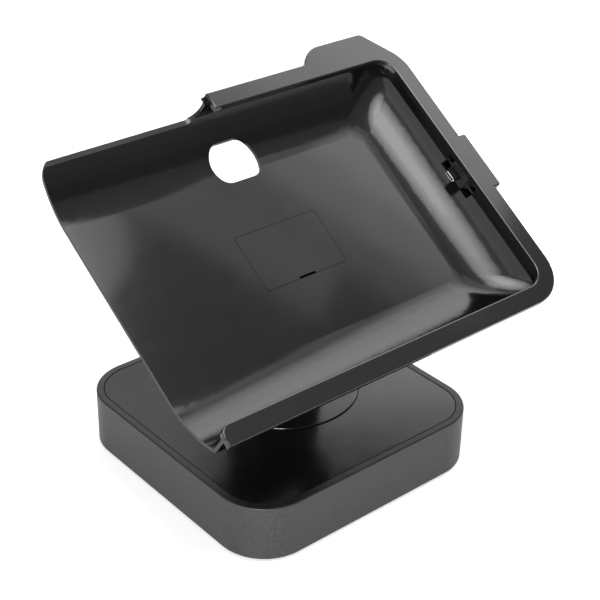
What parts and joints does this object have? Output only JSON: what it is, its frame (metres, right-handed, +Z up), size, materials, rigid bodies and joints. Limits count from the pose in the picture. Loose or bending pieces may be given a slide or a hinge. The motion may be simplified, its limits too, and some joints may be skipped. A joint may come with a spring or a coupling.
{
  "type": "tablet docking station",
  "caption": "Desk dock for a tablet: square base with a turntable, a neck and a tilting open-sided cradle that has a plug at its right side.",
  "frame": {"origin": "centre of the base's rubber pad, on the surface that the object stands on", "axes": "+X to the right along the cradle, +Y to the back of the base, +Z up"},
  "size_m": [0.2658, 0.1896, 0.2222],
  "materials": {
    "textured_grey": "finely textured satin",
    "gloss_black": "gloss",
    "bezel_black": "semi gloss with a fine grain",
    "satin_black": "satin",
    "rubber": "matt",
    "screw_steel": "satin",
    "zinc_steel": "zinc plated",
    "socket_steel": "satin",
    "plug_steel": "satin",
    "contact_brass": "satin",
    "nylon": "satin",
    "circuit_board": "semi gloss",
    "component_black": "matt",
    "lead_black": "matt"
  },
  "bodies": {
    "base": {"base_housing": "textured_grey", "top_panel": "gloss_black", "bottom_cover": "textured_grey", "rubber_pad": "rubber", "bottom_cover_screws": "screw_steel", "ballast_plate": "zinc_steel", "deck_plate": "zinc_steel", "deck_screws": "screw_steel", "thrust_ring": "nylon", "spindle_bush": "nylon", "main_board": "circuit_board", "board_components": "component_black", "board_screws": "screw_steel", "port_panel": "satin_black", "power_jack": "satin_black", "usb_c_port": "socket_steel", "ethernet_port": "socket_steel", "hdmi_port": "socket_steel", "usb_a_ports": "socket_steel", "audio_jack": "satin_black", "lock_slot_plate": "zinc_steel", "base_lead": "lead_black"},
    "neck": {"turntable_disc": "gloss_black", "spindle": "zinc_steel", "spring_washer": "screw_steel", "spindle_nut": "zinc_steel", "stop_pin": "screw_steel", "neck_frame": "zinc_steel", "neck_frame_screws": "screw_steel", "neck_front_shell": "textured_grey", "neck_rear_shell": "textured_grey", "neck_shell_screws": "screw_steel", "neck_lead": "lead_black"},
    "cradle": {"cradle_tray": "gloss_black", "cradle_bezel": "bezel_black", "bezel_screws": "screw_steel", "tilt_bracket": "zinc_steel", "bracket_screws": "screw_steel", "hinge_pins": "screw_steel", "hinge_springs": "screw_steel", "hinge_nuts": "zinc_steel", "hub_housing": "satin_black", "hinge_caps": "satin_black", "lead_cover": "satin_black", "connector_housing": "satin_black", "rear_cover_screws": "screw_steel", "cradle_lead": "lead_black", "carriage_rod": "screw_steel"},
    "carriage": {"plug_carriage": "satin_black", "usb_c_plug": "plug_steel", "plug_contacts": "contact_brass", "plug_board": "circuit_board"},
    "cover": {"access_cover": "gloss_black"}
  },
  "joints": [
    {"name": "base_swivel", "type": "hinge", "parent": "base", "child": "neck", "pos_m": [0.008, 0.006, 0.038], "axis": [0, 0, 1], "range_deg": [-90, 90]},
    {"name": "cradle_tilt", "type": "hinge", "parent": "neck", "child": "cradle", "pos_m": [0.008, 0.0152, 0.1134], "axis": [1, 0, 0], "range_deg": [-13.7, 31.3]},
    {"name": "plug_slide", "type": "slide", "parent": "cradle", "child": "carriage", "axis": [0, 0.832, 0.5548], "range_m": [-0.0065, 0.0065]},
    {"name": "cover_lift", "type": "hinge", "parent": "cradle", "child": "cover", "pos_m": [0.008, 0.01552, 0.14721], "axis": [-1, 0, 0], "range_deg": [0, 40]}
  ]
}
